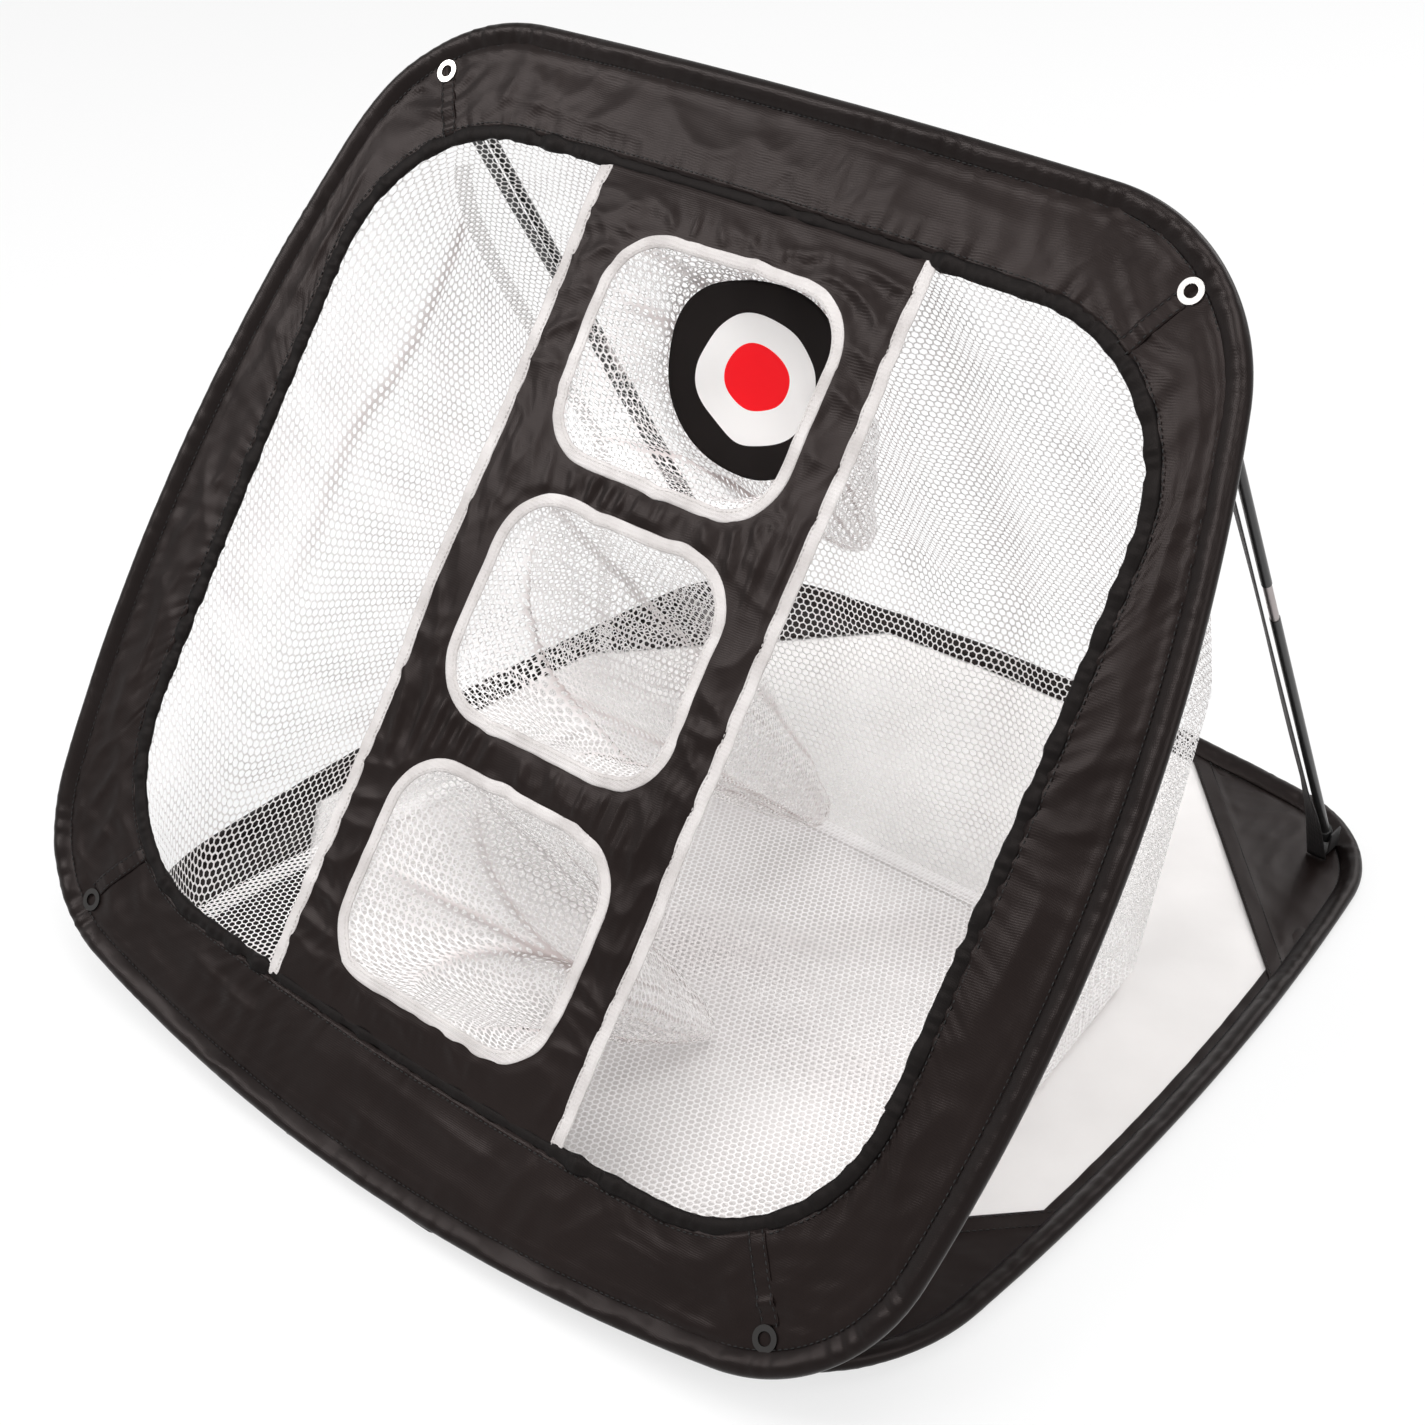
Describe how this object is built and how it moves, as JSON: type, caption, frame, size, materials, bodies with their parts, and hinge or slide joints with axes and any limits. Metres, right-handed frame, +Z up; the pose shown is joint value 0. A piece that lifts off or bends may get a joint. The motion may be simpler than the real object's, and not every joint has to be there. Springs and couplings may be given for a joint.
{
  "type": "golf chipping net",
  "caption": "Fold-flat golf chipping net: a sprung cloth panel with pocket holes and a bagged catch net, hinged to a sprung base and propped by rods.",
  "frame": {"origin": "middle of the base's underside, on the ground", "axes": "+X across the panel, +Y to the back of the base, +Z up; the panel faces -Y and up"},
  "size_m": [0.65, 0.6539, 0.4944],
  "materials": {
    "black_cloth": "woven polyester taffeta with a soft sheen",
    "spring_steel": "bare spring wire",
    "ground_cloth": "plain pale cloth",
    "white_tape": "woven binding tape",
    "white_mesh": "knitted hexagon mesh",
    "target_print": "printed cloth, black ring, white ring and red middle",
    "nickel": "bright nickel",
    "ferrule_metal": "dull metal",
    "webbing": "flat black webbing",
    "rubber_black": "matt",
    "rod_black": "satin black",
    "elastic_black": "gathered elastic binding"
  },
  "bodies": {
    "base": {"base_hoop": "spring_steel", "base_sleeve": "black_cloth", "base_floor": "ground_cloth", "base_border": "black_cloth", "base_patch_back_left": "black_cloth", "base_patch_back_right": "black_cloth", "base_patch_front_left": "black_cloth", "base_patch_front_right": "black_cloth", "rod_socket_left": "webbing", "rod_socket_right": "webbing"},
    "panel": {"panel_hoop": "spring_steel", "panel_sleeve": "black_cloth", "border_top": "black_cloth", "border_right": "black_cloth", "border_bottom": "black_cloth", "border_left": "black_cloth", "window_binding": "elastic_black", "centre_strip": "black_cloth", "strip_tape_left": "white_tape", "strip_tape_right": "white_tape", "pocket_ring_top": "white_tape", "pocket_ring_middle": "white_tape", "pocket_ring_bottom": "white_tape", "pocket_net_top": "white_mesh", "pocket_net_middle": "white_mesh", "pocket_net_bottom": "white_mesh", "target_patch": "target_print", "hinge_tape": "webbing", "eyelet_top_left": "nickel", "eyelet_top_right": "nickel", "eyelet_bottom_left": "nickel", "eyelet_bottom_right": "nickel", "catch_net_back": "white_mesh", "catch_net_left": "white_mesh", "catch_net_right": "white_mesh", "catch_net_floor": "white_mesh", "strap_left": "webbing", "strap_right": "webbing"},
    "rod_left": {"rod_lower_left": "rod_black", "rod_ferrule_left": "ferrule_metal", "rod_upper_left": "rod_black", "rod_foot_left": "rubber_black"},
    "rod_right": {"rod_lower_right": "rod_black", "rod_ferrule_right": "ferrule_metal", "rod_upper_right": "rod_black", "rod_foot_right": "rubber_black"}
  },
  "joints": [
    {"name": "panel_fold", "type": "hinge", "parent": "base", "child": "panel", "pos_m": [0, -0.3175, 0.0055], "axis": [1, 0, 0], "range_deg": [-43, 0], "deforming": ["catch_net_back", "catch_net_left", "catch_net_right", "catch_net_floor", "pocket_net_top", "pocket_net_middle", "pocket_net_bottom", "target_patch", "strap_left", "strap_right"]},
    {"name": "rod_swing_left", "type": "hinge", "parent": "base", "child": "rod_left", "pos_m": [-0.23999, 0.26601, 0.013], "axis": [1, 0, 0], "range_deg": [-114.82, 0]},
    {"name": "rod_swing_right", "type": "hinge", "parent": "base", "child": "rod_right", "pos_m": [0.23999, 0.26601, 0.013], "axis": [1, 0, 0], "range_deg": [-114.82, 0]}
  ],
  "couplings": [
    {"joint": "rod_swing_left", "follows": "panel_fold", "ratio": 2.669},
    {"joint": "rod_swing_right", "follows": "panel_fold", "ratio": 2.669}
  ]
}
